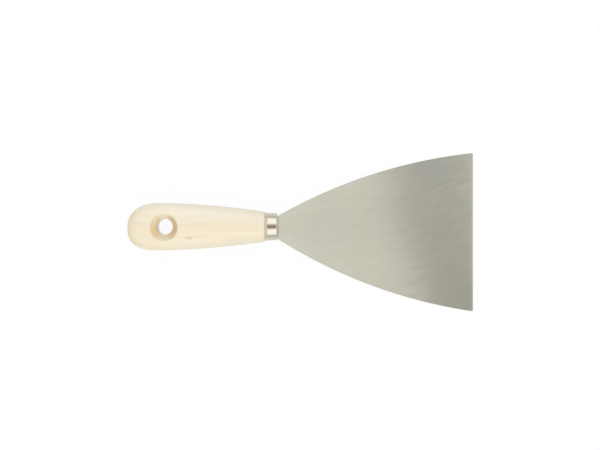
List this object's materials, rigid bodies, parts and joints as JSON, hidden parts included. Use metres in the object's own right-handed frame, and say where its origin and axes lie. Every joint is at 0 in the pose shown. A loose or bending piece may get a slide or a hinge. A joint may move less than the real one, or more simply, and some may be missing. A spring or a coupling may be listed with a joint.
{
  "type": "flexible putty knife",
  "caption": "Flexible putty knife with a fan-shaped taper-ground steel blade, a drawn oval ferrule and a rounded wooden handle with a countersunk hanging hole.",
  "frame": {"origin": "centre of the hanging hole, half way through the handle's thickness", "axes": "+X along the knife from the handle to the blade's working edge, +Y across the blade, +Z out of the blade's face along the hanging hole"},
  "size_m": [0.2182, 0.0998, 0.018],
  "materials": {
    "wood": "pale hardwood, sanded, clear satin lacquer",
    "nickel": "polished nickel plate",
    "steel": "fine ground spring steel"
  },
  "bodies": {
    "root": {"handle": "wood", "ferrule": "nickel", "blade": "steel"}
  },
  "joints": []
}
